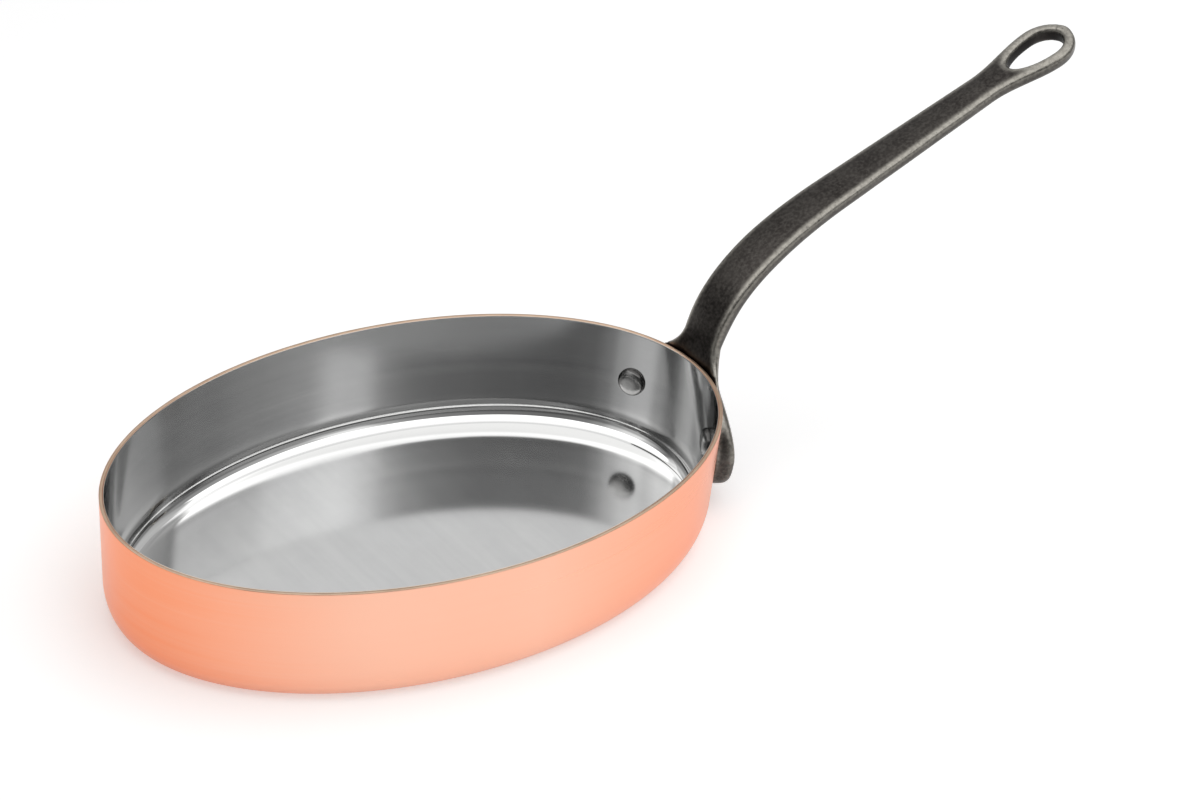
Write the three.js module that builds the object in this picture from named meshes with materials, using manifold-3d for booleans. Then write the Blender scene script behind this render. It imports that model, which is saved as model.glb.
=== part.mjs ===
// Oval frying pan: copper outside, steel lining, cast-iron handle with a hanging loop, two rivets.
// Millimetres, +Z up. Origin at the centre of the base's underside, +X along the handle, +Y across.

import * as THREE from 'three';
import { mergeVertices } from 'three/addons/utils/BufferGeometryUtils.js';
import Module from 'manifold-3d';

const wasm = await Module();
wasm.setup();

// Pan body
const RIM_LENGTH = 300;
const RIM_WIDTH = 197;
const PAN_HEIGHT = 57;
const SIDE_FLARE = 1.7;
const END_FLARE = 2.5;
const CORNER_REACH = 8.5;
const CORNER_RISE = 16;
const COPPER_THICKNESS = 1.4;
const LINING_THICKNESS = 0.5;
const RIM_ROUNDING = 0.15;

// Gap between faces that touch on the real object
const CONTACT_GAP = 0.3;

// Handle path in the X-Z plane: a root behind the rim, a rising neck, a bend and a straight grip
const NECK_STANDOFF = 1.5;
const NECK_ROOT = 8;
const NECK_RISE = 34;
const BEND_REACH = 70;
const BEND_HEIGHT = 71.2;
const BEND_EASE = 43;
const GRIP_SLOPE = 21.1;
const GRIP_LENGTH = 147.5;

// Handle section
const NECK_WIDTH = 24;
const GRIP_WIDTH = 17.5;
const ROOT_THICKNESS = 5.4;
const NECK_THICKNESS = 7;
const NECK_SWELL = 26;
const GRIP_THICKNESS = 6.8;
const LOOP_THICKNESS = 8;
const TOP_CROWN = 0.8;
const EDGE_ROUNDING = 2;
const LOOP_ROUNDING = 2.9;
const SIDE_DRAFT = 0.7;
const SADDLE_HEIGHT = 16;

// Hanging loop
const LOOP_WIDTH = 29;
const LOOP_END = 16;
const LOOP_RAIL = 5.6;
const LOOP_TAPER = 38;
const HOLE_LENGTH = 31.5;
const HOLE_TIP_LENGTH = 21;
const HOLE_ROUNDING = 2.4;

// Bracket behind the end wall, with a lobe on each side
const BRACKET_WIDTH = 77;
const LOBE_MIDDLE = 26;
const LOBE_BOTTOM = 9.5;
const LOBE_SPREAD = 29;
const LOBE_TOE_REACH = 5.7;
const LOBE_SIDE_DROP = 11.5;
const ARCH_TOP = 24;
const ARCH_REACH = 17.5;
const ARCH_RETURN = 7.2;
const SHOULDER_RISE = 12;
const SHOULDER_DROP = 4;
const SHOULDER_LEAN = 2;
const LOBE_THICKNESS = 9.9;
const SHOULDER_THICKNESS = 3.4;
const WING_START = 8.4;
const WING_END = 20.4;
const RIM_STEP_START = 6;
const RIM_STEP_END = 1;
const BRACKET_ROUNDING = 4;
const BRACKET_BACK_ROUNDING = 1.6;

// Rivets
const RIVET_SPACING = 62;
const RIVET_HEIGHT = 31.5;
const RIVET_SHANK_RADIUS = 3.2;
const RIVET_HEAD_RADIUS = 6.7;
const RIVET_HEAD_HEIGHT = 3.2;
const RIVET_TAIL_RADIUS = 4.4;
const RIVET_TAIL_DEPTH = 3.2;
const RIVET_TAIL_LAND = 1.4;

// How far the cutting tools reach past the metal
const TOOL_OVERRUN = 5;

// Fineness of the meshes
const OVAL_STEPS = 72;
const BEND_STEPS = 20;
const GRIP_STEPS = 6;
const LOOP_STEPS = 10;
const LOOP_END_STEPS = 9;
const CORNER_STEPS = 6;
const ROUND_STEPS = 28;
const ROUNDING_STEPS = 3;
const FACE_STEPS = 4;
const BRACKET_COLUMNS = 22;
const BRACKET_SIDE_SHARE = 0.992;
const HOLE_STEPS = 32;

const copper = new THREE.MeshStandardMaterial({ color: 0xf2a684, roughness: 0.28, metalness: 1 });
const steel = new THREE.MeshStandardMaterial({ color: 0xc4c6c8, roughness: 0.25, metalness: 1 });
const castIron = new THREE.MeshStandardMaterial({ color: 0x3f3d3b, roughness: 0.5, metalness: 0.8 });
const rivetSteel = new THREE.MeshStandardMaterial({ color: 0x8f9193, roughness: 0.3, metalness: 1 });

const { lerp, smoothstep, clamp, degToRad } = THREE.MathUtils;

// Meshes from rings of points

function fanFaces(middle, first, count, reversed) {
  const faces = [];
  for (let j = 0; j < count; j++) {
    const next = (j + 1) % count;
    faces.push(middle, first + (reversed ? next : j), first + (reversed ? j : next));
  }
  return faces;
}

// Joins rings of equal point count by bands and closes each end with a fan.
function skinRings(rings) {
  const count = rings[0].length;
  const last = (rings.length - 1) * count;
  const points = rings.flat();
  const faces = [];
  for (let low = 0; low < last; low += count) {
    const high = low + count;
    for (let j = 0; j < count; j++) {
      const next = (j + 1) % count;
      faces.push(low + j, low + next, high + next, low + j, high + next, high + j);
    }
  }
  for (const ring of [rings[0], rings[rings.length - 1]]) {
    const middle = ring.reduce((sum, p) => sum.add(p), new THREE.Vector3()).divideScalar(count);
    points.push(middle);
  }
  faces.push(...fanFaces(points.length - 2, 0, count, true));
  faces.push(...fanFaces(points.length - 1, last, count, false));
  const geometry = new THREE.BufferGeometry();
  geometry.setAttribute('position', new THREE.Float32BufferAttribute(points.flatMap((p) => p.toArray()), 3));
  geometry.setIndex(faces);
  return geometry;
}

// Cuts and joins

function toSolid(geometry) {
  const bare = geometry.clone();
  bare.deleteAttribute('normal');
  bare.deleteAttribute('uv');
  const merged = mergeVertices(bare);
  const faces = [];
  for (let i = 0; i < merged.index.count; i += 3) {
    const corners = [0, 1, 2].map((k) => merged.index.getX(i + k));
    if (new Set(corners).size === 3) faces.push(...corners);
  }
  const mesh = new wasm.Mesh({
    numProp: 3,
    vertProperties: new Float32Array(merged.attributes.position.array),
    triVerts: new Uint32Array(faces),
  });
  return new wasm.Manifold(mesh);
}

function namedMesh(name, solid, material) {
  const { vertProperties, triVerts } = solid.getMesh();
  const geometry = new THREE.BufferGeometry();
  geometry.setAttribute('position', new THREE.BufferAttribute(new Float32Array(vertProperties), 3));
  geometry.setIndex(new THREE.BufferAttribute(new Uint32Array(triVerts), 1));
  geometry.computeVertexNormals();
  const mesh = new THREE.Mesh(geometry, material);
  mesh.name = name;
  return mesh;
}

// The oval wall

const halfLength = RIM_LENGTH / 2;
const halfWidth = RIM_WIDTH / 2;

function ovalNormal(angle) {
  return new THREE.Vector3(halfWidth * Math.cos(angle), halfLength * Math.sin(angle), 0).normalize();
}

// The end walls flare more than the side walls, so the oval is a little shorter towards the base.
function ovalPoint(angle, inset, z) {
  const shorter = (END_FLARE - SIDE_FLARE) * Math.max(0, 1 - z / PAN_HEIGHT);
  const edge = new THREE.Vector3((halfLength - shorter) * Math.cos(angle), halfWidth * Math.sin(angle), z);
  return edge.addScaledVector(ovalNormal(angle), -inset);
}

function ovalRing(inset, z) {
  return Array.from({ length: OVAL_STEPS }, (_, i) => ovalPoint((2 * Math.PI * i) / OVAL_STEPS, inset, z));
}

// How far the outside of the side wall lies inside the rim at a height.
function wallInset(z) {
  return SIDE_FLARE * (1 - z / PAN_HEIGHT);
}

function wallAngle(y) {
  return Math.asin(clamp(y / halfWidth, -1, 1));
}

// Point outside the end wall at a distance along its normal; above the rim the wall's line goes straight up.
function besideWall(y, z, outward) {
  return ovalPoint(wallAngle(y), wallInset(Math.min(z, PAN_HEIGHT)) - outward, z);
}

// Pan shells

// Rings of one side of a sheet from the base's edge to the rim, at a depth below the pan's outside.
// The corner is a quarter ellipse that reaches further up the wall than along the base.
function sheetSide(depth) {
  const reach = CORNER_REACH - depth;
  const rise = CORNER_RISE - depth;
  const cornerInset = wallInset(CORNER_RISE) + CORNER_REACH;
  const rings = [];
  for (let i = 0; i <= CORNER_STEPS; i++) {
    const turn = (Math.PI / 2) * (i / CORNER_STEPS);
    rings.push(ovalRing(cornerInset - reach * Math.sin(turn), CORNER_RISE - rise * Math.cos(turn)));
  }
  rings.push(ovalRing(depth + wallInset(PAN_HEIGHT - RIM_ROUNDING), PAN_HEIGHT - RIM_ROUNDING));
  return rings;
}

// A sheet between two depths below the pan's outside, with a cut edge at the rim.
function sheetShell(outerDepth, innerDepth) {
  const cutEdge = [
    ovalRing(outerDepth + RIM_ROUNDING, PAN_HEIGHT),
    ovalRing(innerDepth - RIM_ROUNDING, PAN_HEIGHT),
  ];
  return toSolid(skinRings([...sheetSide(outerDepth), ...cutEdge, ...sheetSide(innerDepth).reverse()]));
}

const liningDepth = COPPER_THICKNESS + CONTACT_GAP;
const insideDepth = liningDepth + LINING_THICKNESS;

// Handle path

const neckHalf = NECK_WIDTH / 2;
const neckX = halfLength + NECK_STANDOFF;
const gripDirection = new THREE.Vector3(Math.cos(degToRad(GRIP_SLOPE)), 0, Math.sin(degToRad(GRIP_SLOPE)));
const gripUp = new THREE.Vector3(-gripDirection.z, 0, gripDirection.x);
const neckStart = new THREE.Vector3(neckX, 0, PAN_HEIGHT);
const gripStart = new THREE.Vector3(neckX + BEND_REACH, 0, PAN_HEIGHT + BEND_HEIGHT);
const gripEnd = gripStart.clone().addScaledVector(gripDirection, GRIP_LENGTH);
const neckBend = new THREE.CubicBezierCurve3(
  neckStart,
  new THREE.Vector3(neckX, 0, PAN_HEIGHT + NECK_RISE),
  gripStart.clone().addScaledVector(gripDirection, -BEND_EASE),
  gripStart,
);

const handlePath = new THREE.CurvePath();
handlePath.add(new THREE.LineCurve3(new THREE.Vector3(neckX, 0, PAN_HEIGHT - NECK_ROOT), neckStart));
handlePath.add(neckBend);
handlePath.add(new THREE.LineCurve3(gripStart, gripEnd));

const handleLength = handlePath.getLength();
const loopMiddle = handleLength - LOOP_END;
const loopStart = loopMiddle - LOOP_TAPER;
const bendEnd = handleLength - GRIP_LENGTH;

// How far the end wall has fallen back from its outermost point at a given y.
function wallBack(y) {
  return halfLength - besideWall(y, PAN_HEIGHT, 0).x;
}

// How closely the casting follows the oval: fully up to the rim, not at all a saddle height above it.
function saddle(z) {
  return 1 - smoothstep(z, PAN_HEIGHT, PAN_HEIGHT + SADDLE_HEIGHT);
}

// How far the neck's top face has bent outward at a height above the rim.
function neckLean(z) {
  let low = 0;
  let high = 1;
  while (high - low > 1e-4) {
    const middle = (low + high) / 2;
    if (neckBend.getPoint(middle).z < z) low = middle;
    else high = middle;
  }
  return neckBend.getPoint(low).x - neckX;
}

// Handle bar

// Full at the neck, tapering along the grip, wide again at the loop, round at the end.
function handleWidth(distance) {
  if (distance > loopMiddle) {
    return LOOP_WIDTH * Math.sqrt(1 - Math.min(1, (distance - loopMiddle) / LOOP_END) ** 2);
  }
  const taperStart = bendEnd - BEND_EASE;
  const grip = lerp(NECK_WIDTH, GRIP_WIDTH, clamp((distance - taperStart) / (loopStart - taperStart), 0, 1));
  return lerp(grip, LOOP_WIDTH, smoothstep(distance, loopStart, loopMiddle));
}

function handleThickness(distance) {
  const neck = lerp(ROOT_THICKNESS, NECK_THICKNESS, smoothstep(distance, NECK_ROOT, NECK_ROOT + NECK_SWELL));
  const grip = lerp(neck, GRIP_THICKNESS, smoothstep(distance, NECK_ROOT + NECK_SWELL, bendEnd));
  return lerp(grip, LOOP_THICKNESS, smoothstep(distance, loopStart, loopMiddle));
}

// Points of a rounded corner as distances in from its two faces, from the first face to the second.
function cornerInsets(first, second) {
  return Array.from({ length: ROUNDING_STEPS + 1 }, (_, i) => {
    const turn = (Math.PI / 2) * (i / ROUNDING_STEPS);
    return [first * (1 - Math.cos(turn)), second * (1 - Math.sin(turn))];
  });
}

// How much a rounded edge draws its face in where only part of its radius has room.
function roundingLoss(radius, room) {
  return radius - Math.sqrt(radius ** 2 - (radius - Math.min(room, radius)) ** 2);
}

// Outline of the handle across its path as [across, up] pairs, up measured from the top face's edge.
function handleOutline(distance) {
  const half = handleWidth(distance) / 2;
  const atLoop = smoothstep(distance, loopStart, loopMiddle);
  const rounding = lerp(EDGE_ROUNDING, LOOP_ROUNDING, atLoop);
  const loss = roundingLoss(rounding, half);
  const draft = SIDE_DRAFT * Math.min(1, half / neckHalf);
  const crown = TOP_CROWN * Math.min(1, half / neckHalf);
  const insets = cornerInsets(Math.min(rounding, half - draft), rounding - loss);
  const top = -loss;
  const bottom = loss - handleThickness(distance);
  const upper = insets.map(([inward, down]) => [half - inward, top - down]);
  const lower = insets.map(([inward, up]) => [half - draft - inward, bottom + up]);
  const crownSide = [upper[upper.length - 1][0] / 2, top + crown * (1 - 0.5 ** 2)];
  const right = [...lower.reverse(), ...upper, crownSide];
  const left = right.map(([across, up]) => [-across, up]).reverse();
  return [[0, bottom], ...right, [0, top + crown], ...left];
}

function handleRing(distance) {
  const share = distance / handleLength;
  const origin = handlePath.getPoint(share);
  const along = handlePath.getTangent(share);
  return handleOutline(distance).map(([across, up]) => new THREE.Vector3(
    origin.x - along.z * up - saddle(origin.z) * wallBack(across),
    across,
    origin.z + along.x * up,
  ));
}

// Distances along the path: even steps over each stretch, closer towards the round end.
function handleDistances() {
  const stretches = [
    [0, bendEnd, BEND_STEPS],
    [bendEnd, loopStart, GRIP_STEPS],
    [loopStart, loopMiddle, LOOP_STEPS],
  ];
  const distances = stretches.flatMap(([from, to, count]) => (
    Array.from({ length: count }, (_, i) => lerp(from, to, i / count))
  ));
  for (let i = 0; i < LOOP_END_STEPS; i++) {
    distances.push(loopMiddle + LOOP_END * Math.sin((Math.PI / 2) * (i / LOOP_END_STEPS)));
  }
  return distances;
}

function handleBar() {
  return toSolid(skinRings(handleDistances().map(handleRing)));
}

// Hanging hole

// Egg of two half ellipses, grown outward, as [distance from the end, across].
function eggOutline(grow) {
  const halfAcross = LOOP_WIDTH / 2 - LOOP_RAIL + grow;
  const widest = LOOP_RAIL + HOLE_LENGTH - HOLE_TIP_LENGTH;
  return Array.from({ length: HOLE_STEPS }, (_, i) => {
    const turn = (2 * Math.PI * i) / HOLE_STEPS;
    const reach = grow + (Math.cos(turn) > 0 ? HOLE_TIP_LENGTH : HOLE_LENGTH - HOLE_TIP_LENGTH);
    return [widest + reach * Math.cos(turn), halfAcross * Math.sin(turn)];
  });
}

// The hole's tool widens towards both faces, so that the hole's edges come out rounded.
function hangingHole() {
  const top = TOP_CROWN / 2;
  const insets = cornerInsets(HOLE_ROUNDING, HOLE_ROUNDING).reverse();
  const levels = insets.map(([grow, down]) => [top - down, grow]);
  levels.unshift([top + TOOL_OVERRUN, HOLE_ROUNDING]);
  const mirrored = levels.map(([up, grow]) => [top - LOOP_THICKNESS - up, grow]).reverse();
  const holePoint = (tillEnd, across, up) => (
    gripEnd.clone().addScaledVector(gripDirection, -tillEnd).addScaledVector(gripUp, up).setY(across)
  );
  const rings = [...levels, ...mirrored].map(([up, grow]) => (
    eggOutline(grow).map(([tillEnd, across]) => holePoint(tillEnd, across, up))
  ));
  return toSolid(skinRings(rings));
}

// Bracket

// Upper and lower edges of one half as (y, z), from the middle out to the lobe's side.
function bracketEdges() {
  const at = (y, z) => new THREE.Vector2(y, z);
  const bracketHalf = BRACKET_WIDTH / 2;
  const shoulderTop = PAN_HEIGHT + SHOULDER_RISE;
  const shoulderBottom = PAN_HEIGHT - SHOULDER_DROP;
  const lobeSide = at(bracketHalf, LOBE_MIDDLE);
  const upper = new THREE.CurvePath();
  upper.add(new THREE.LineCurve(at(0, shoulderTop), at(neckHalf - SHOULDER_LEAN / 2, shoulderTop)));
  upper.add(new THREE.CubicBezierCurve(
    at(neckHalf - SHOULDER_LEAN / 2, shoulderTop),
    at(neckHalf, shoulderBottom),
    at(bracketHalf - SHOULDER_LEAN, shoulderBottom),
    lobeSide,
  ));
  const lower = new THREE.CurvePath();
  lower.add(new THREE.CubicBezierCurve(
    at(0, ARCH_TOP),
    at(ARCH_REACH, ARCH_TOP),
    at(LOBE_SPREAD - ARCH_RETURN, LOBE_BOTTOM),
    at(LOBE_SPREAD, LOBE_BOTTOM),
  ));
  lower.add(new THREE.CubicBezierCurve(
    at(LOBE_SPREAD, LOBE_BOTTOM),
    at(LOBE_SPREAD + LOBE_TOE_REACH, LOBE_BOTTOM),
    at(bracketHalf, LOBE_MIDDLE - LOBE_SIDE_DROP),
    lobeSide,
  ));
  return { upper, lower };
}

// From the wall to the casting's outer face: full under the neck, a wedge from shoulder to lobe beside it.
function bracketOuter(y, z) {
  const height = smoothstep(z, LOBE_MIDDLE, PAN_HEIGHT);
  const lobe = lerp(LOBE_THICKNESS, SHOULDER_THICKNESS, height);
  const middle = lerp(LOBE_THICKNESS, NECK_STANDOFF + ROOT_THICKNESS, height);
  return lerp(middle, lobe, smoothstep(Math.abs(y), WING_START, WING_END));
}

// The inner face lies on the wall and steps clear of the rim's edge.
function bracketInner(z) {
  const step = smoothstep(z, PAN_HEIGHT - RIM_STEP_START, PAN_HEIGHT - RIM_STEP_END);
  return lerp(CONTACT_GAP, NECK_STANDOFF, step);
}

function bracketPoint(y, z, outward) {
  const point = besideWall(y, z, outward);
  point.x += neckLean(z) + (1 - saddle(z)) * wallBack(y);
  return point;
}

// One column of the bracket between its edges: over the top, down the outer face and back up the inner one.
function bracketRing(low, high) {
  const height = low.distanceTo(high);
  const roundingUp = Math.min(BRACKET_ROUNDING, height / 2);
  const backUp = Math.min(BRACKET_BACK_ROUNDING, height / 2);
  const loss = roundingLoss(BRACKET_ROUNDING, roundingUp);
  const backLoss = roundingLoss(BRACKET_BACK_ROUNDING, backUp);
  const columnPoint = (up, share) => {
    const { x: y, y: z } = low.clone().lerp(high, up / height);
    return bracketPoint(y, z, share(bracketInner(z), bracketOuter(y, z)));
  };
  const backPoint = (up, fromInner) => columnPoint(up, (inner) => inner + backLoss + fromInner);
  const facePoint = (up, fromOuter) => columnPoint(up, (inner, outer) => (
    Math.max(outer - loss - fromOuter, inner + BRACKET_BACK_ROUNDING + CONTACT_GAP)
  ));
  const insets = cornerInsets(BRACKET_ROUNDING, roundingUp);
  const backInsets = cornerInsets(BRACKET_BACK_ROUNDING - backLoss, backUp);
  const faceSteps = Array.from({ length: FACE_STEPS }, (_, i) => (i + 0.5) / FACE_STEPS);
  return [
    ...backInsets.map(([fromInner, down]) => backPoint(height - down, fromInner)),
    ...insets.toReversed().map(([fromOuter, down]) => facePoint(height - down, fromOuter)),
    ...faceSteps.map((step) => facePoint(lerp(height - roundingUp, roundingUp, step), 0)),
    ...insets.map(([fromOuter, up]) => facePoint(up, fromOuter)),
    ...backInsets.toReversed().map(([fromInner, up]) => backPoint(up, fromInner)),
    ...faceSteps.map((step) => backPoint(lerp(backUp, height - backUp, step), 0)),
  ];
}

function bracketPlate() {
  const { upper, lower } = bracketEdges();
  const rings = [];
  for (let i = -BRACKET_COLUMNS; i <= BRACKET_COLUMNS; i++) {
    const share = BRACKET_SIDE_SHARE * Math.sin((Math.PI / 2) * (Math.abs(i) / BRACKET_COLUMNS));
    const side = new THREE.Vector2(Math.sign(i), 1);
    rings.push(bracketRing(lower.getPoint(share).multiply(side), upper.getPoint(share).multiply(side)));
  }
  return toSolid(skinRings(rings));
}

// Rivets

const lobeFace = bracketOuter(RIVET_SPACING / 2, RIVET_HEIGHT);

// A turned shape given as [radius, distance outward from the wall], set square to the wall at a rivet.
function turnedOnWall(profile, side) {
  const y = (side * RIVET_SPACING) / 2;
  const geometry = new THREE.LatheGeometry(profile.map(([r, out]) => new THREE.Vector2(r, out)), ROUND_STEPS);
  const level = ovalNormal(wallAngle(y));
  const lean = besideWall(y, PAN_HEIGHT, 0).sub(besideWall(y, 0, 0)).dot(level);
  const tilt = Math.atan(lean / PAN_HEIGHT);
  const outward = level.clone().multiplyScalar(Math.cos(tilt)).setZ(-Math.sin(tilt));
  geometry.applyQuaternion(new THREE.Quaternion().setFromUnitVectors(new THREE.Vector3(0, 1, 0), outward));
  const foot = besideWall(y, RIVET_HEIGHT, 0);
  return toSolid(geometry.translate(foot.x, foot.y, foot.z));
}

// Low dome inside the pan; its back is cut to lie along the lining.
function rivetHead(side) {
  const profile = [];
  for (let i = 0; i <= CORNER_STEPS; i++) {
    const turn = (Math.PI / 2) * (i / CORNER_STEPS);
    profile.push([RIVET_HEAD_RADIUS * Math.sin(turn), -insideDepth - RIVET_HEAD_HEIGHT * Math.cos(turn)]);
  }
  profile.push([RIVET_HEAD_RADIUS, -liningDepth], [0, -liningDepth]);
  return turnedOnWall(profile, side).subtract(sheetShell(0, insideDepth + CONTACT_GAP));
}

// Shank and spread tail, reaching past the lobe's face.
function rivetShank(side, clearance) {
  const shank = RIVET_SHANK_RADIUS + clearance;
  const tail = RIVET_TAIL_RADIUS + clearance;
  const start = -insideDepth - RIVET_HEAD_HEIGHT / 2;
  const end = lobeFace + TOOL_OVERRUN;
  const profile = [
    [0, start],
    [shank, start],
    [shank, lobeFace - RIVET_TAIL_DEPTH],
    [tail, lobeFace - RIVET_TAIL_LAND],
    [tail, end],
    [0, end],
  ];
  return turnedOnWall(profile, side);
}

// The tail is ground flush, so the shank is kept from the head to the lobe's own face.
function rivet(side, plate) {
  const inner = -insideDepth - RIVET_HEAD_HEIGHT;
  const middle = LOBE_THICKNESS / 2;
  const block = [[0, inner], [RIVET_HEAD_RADIUS, inner], [RIVET_HEAD_RADIUS, middle], [0, middle]];
  const kept = turnedOnWall(block, side).add(plate);
  return rivetHead(side).add(rivetShank(side, 0).intersect(kept));
}

function drillForRivets(solid) {
  return solid.subtract(rivetShank(1, CONTACT_GAP)).subtract(rivetShank(-1, CONTACT_GAP));
}

// Assembly

const pan = new THREE.Group();
pan.add(namedMesh('copper_body', drillForRivets(sheetShell(0, COPPER_THICKNESS)), copper));
pan.add(namedMesh('steel_lining', drillForRivets(sheetShell(liningDepth, insideDepth)), steel));

const plate = bracketPlate();
const casting = handleBar().add(plate).subtract(hangingHole());
pan.add(namedMesh('handle', drillForRivets(casting), castIron));

pan.add(namedMesh('rivet_left', rivet(1, plate), rivetSteel));
pan.add(namedMesh('rivet_right', rivet(-1, plate), rivetSteel));

export default pan;
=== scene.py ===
import math

import bmesh
import bpy
import numpy as np
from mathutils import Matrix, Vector
from mathutils.bvhtree import BVHTree


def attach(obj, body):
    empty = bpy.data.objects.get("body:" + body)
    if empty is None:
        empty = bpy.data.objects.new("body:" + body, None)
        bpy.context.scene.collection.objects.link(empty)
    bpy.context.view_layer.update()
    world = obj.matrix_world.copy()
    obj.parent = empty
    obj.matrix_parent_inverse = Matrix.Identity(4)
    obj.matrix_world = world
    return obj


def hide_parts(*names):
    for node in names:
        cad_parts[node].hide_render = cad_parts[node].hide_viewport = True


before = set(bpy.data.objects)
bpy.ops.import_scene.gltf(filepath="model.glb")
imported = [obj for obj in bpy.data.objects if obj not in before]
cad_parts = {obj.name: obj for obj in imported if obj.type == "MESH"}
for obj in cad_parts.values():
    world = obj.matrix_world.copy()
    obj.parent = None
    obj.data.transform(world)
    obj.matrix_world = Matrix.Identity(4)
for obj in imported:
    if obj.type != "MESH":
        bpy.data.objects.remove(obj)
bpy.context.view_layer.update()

# The oval pan and its casting are built in millimetres and then brought to metres. The ends of the
# copper's painted end shade, the camera, the floor and the lamp are in metres from the start.
# Origin at the centre of the base's underside, +X along the handle, +Y across, +Z up.

MM = 0.001
WELD = 0.001

# Pan body
RIM_LENGTH = 300
RIM_WIDTH = 197
PAN_HEIGHT = 57
SIDE_FLARE = 1.7
END_FLARE = 2.5
CORNER_REACH = 8.5
CORNER_RISE = 16
COPPER_DEPTH = 1.65
LINING_START = 1.7
LINING_END = 2.2
RIM_BEVEL = 0.25
RIM_SUPPORT = 0.4
INNER_REACH = 8
INNER_FULLNESS = 2.3
OVAL_STEPS = 288
FLOOR_SUPPORT = 0.5
FLOOR_RINGS = 10
CORNER_STEPS = 18
WALL_RINGS = 8

# Handle path: a root behind the rim, a rising neck, a bend and a straight grip
NECK_STANDOFF = 1.5
NECK_ROOT = 8
NECK_RISE = 34
BEND_REACH = 70
BEND_HEIGHT = 71.2
BEND_EASE = 43
GRIP_SLOPE = 21.1
GRIP_LENGTH = 147.5
PATH_SAMPLES = 400

# Handle section
NECK_WIDTH = 24
GRIP_WIDTH = 17.5
ROOT_THICKNESS = 5.4
NECK_THICKNESS = 7
NECK_SWELL = 26
GRIP_THICKNESS = 6.8
LOOP_THICKNESS = 8
TOP_CROWN = 0.8
EDGE_ROUNDING = 2
LOOP_ROUNDING = 2.9
SIDE_DRAFT = 0.7
SADDLE_HEIGHT = 16
ROUNDING_STEPS = 5
BEND_STEPS = 40
GRIP_STEPS = 24
LOOP_STEPS = 20
LOOP_END_STEPS = 14

# Hanging loop
LOOP_WIDTH = 29
LOOP_END = 16
LOOP_RAIL = 5.6
LOOP_TAPER = 38
HOLE_LENGTH = 31.5
HOLE_TIP_LENGTH = 21
HOLE_ROUNDING = 2.4
HOLE_STEPS = 48
TOOL_OVERRUN = 5

# Bracket behind the end wall, with a lobe on each side
BRACKET_WIDTH = 77
LOBE_MIDDLE = 26
LOBE_BOTTOM = 9.5
LOBE_SPREAD = 29
LOBE_TOE_REACH = 5.7
LOBE_SIDE_DROP = 11.5
ARCH_TOP = 24
ARCH_REACH = 17.5
ARCH_RETURN = 7.2
SHOULDER_RISE = 12
SHOULDER_DROP = 4
SHOULDER_LEAN = 2
LOBE_THICKNESS = 9.9
SHOULDER_THICKNESS = 3.4
WING_START = 8.4
WING_END = 20.4
RIM_STEP_START = 6
RIM_STEP_END = 1
BRACKET_ROUNDING = 4
BRACKET_BACK_ROUNDING = 1.6
CASTING_GAP = 0.3
BRACKET_COLUMNS = 40
BRACKET_FACE_STEPS = 10
BRACKET_SIDE_SHARE = 0.992
BRACKET_CURVE_STEPS = 80

# The casting's skin
# Painted shade: where the casting is darkened inside the hanging hole and against the pan
PAINTED_SHADE = "painted_shade"
SHADE_ROUND_HOLE = (1.02, 1.2)
SHADE_IN_HOLE = (0.6, 2.2)
SHADE_TO_PAN = (-0.2, -0.7)
# Rubbed wear and a painted highlight on the rounded edges, strongest on those facing up towards the light
WEAR_AND_HIGHLIGHT = "wear_and_highlight"
WEAR_HIGHLIGHT_START = 0.03
WEAR_HIGHLIGHT_FULL = 0.14
WEAR_HIGHLIGHT_SOFTENING = 12
HIGHLIGHT_FACING = (-0.1, 0.5)
HIGHLIGHT_BELOW = 0.2
CASTING_VOXEL = 0.75
CASTING_SMOOTHING = 8

# Rivets
RIVET_SPACING = 62
RIVET_HEIGHT = 31.5
RIVET_HEAD_RADIUS = 6.7
RIVET_HEAD_HEIGHT = 3.2
RIVET_HEAD_FULLNESS = 2.8
RIVET_HEAD_UNDERCUT = 0.35
RIVET_TAIL_RADIUS = 4.4
RIVET_TAIL_DEPTH = 3.2
RIVET_TAIL_LAND = 1.4
RIVET_TAIL_SEAM = 0.35
RIVET_TAIL_PROUD = 0.08
RIVET_TAIL_RINGS = (0.93, 0.6, 0.3, 0)
RIVET_HEAD_STEPS = 14
RIVET_STEPS = 64

# Copper: colours as (red, green, blue, 1), pairs from one end of the cloudy tone to the other
COPPER_PALE = (1.0, 0.53, 0.375, 1), (1.0, 0.575, 0.42, 1)
# Painted shade: deeper, darker copper laid on towards both ends of the pan
COPPER_END_SHADE = (0.97, 0.30, 0.135, 1), (0.99, 0.34, 0.165, 1)
# Painted sheen: lighter copper laid along the polishing lines
COPPER_LINE_SHEEN = (1.0, 0.62, 0.47, 1)
COPPER_CUT = (0.55, 0.385, 0.275, 1), (0.75, 0.57, 0.43, 1)
COPPER_ROUGHNESS = (0.27, 0.35)
CUT_ROUGHNESS = 0.5
CUT_BAND = (0.28, 0.1)
# Where the painted shade at the far end and at the handle end starts and is full along X, in metres
FAR_END_SHADE = (-0.075, -0.15)
FAR_END_SHADE_SLOWNESS = 1.6
HANDLE_END_SHADE = (0, 0.1)
HANDLE_END_SHADE_DEPTH = 0.85

# Steel lining
STEEL = (0.625, 0.63, 0.635, 1), (0.67, 0.67, 0.665, 1)
# Painted reflection: darker upright streaks on the wall, for the light the round brushing spreads up and
# down
STEEL_REFLECTION_STREAK = (0.5, 0.5, 0.505, 1)
STEEL_LINE = (0.79, 0.79, 0.78, 1)
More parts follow.
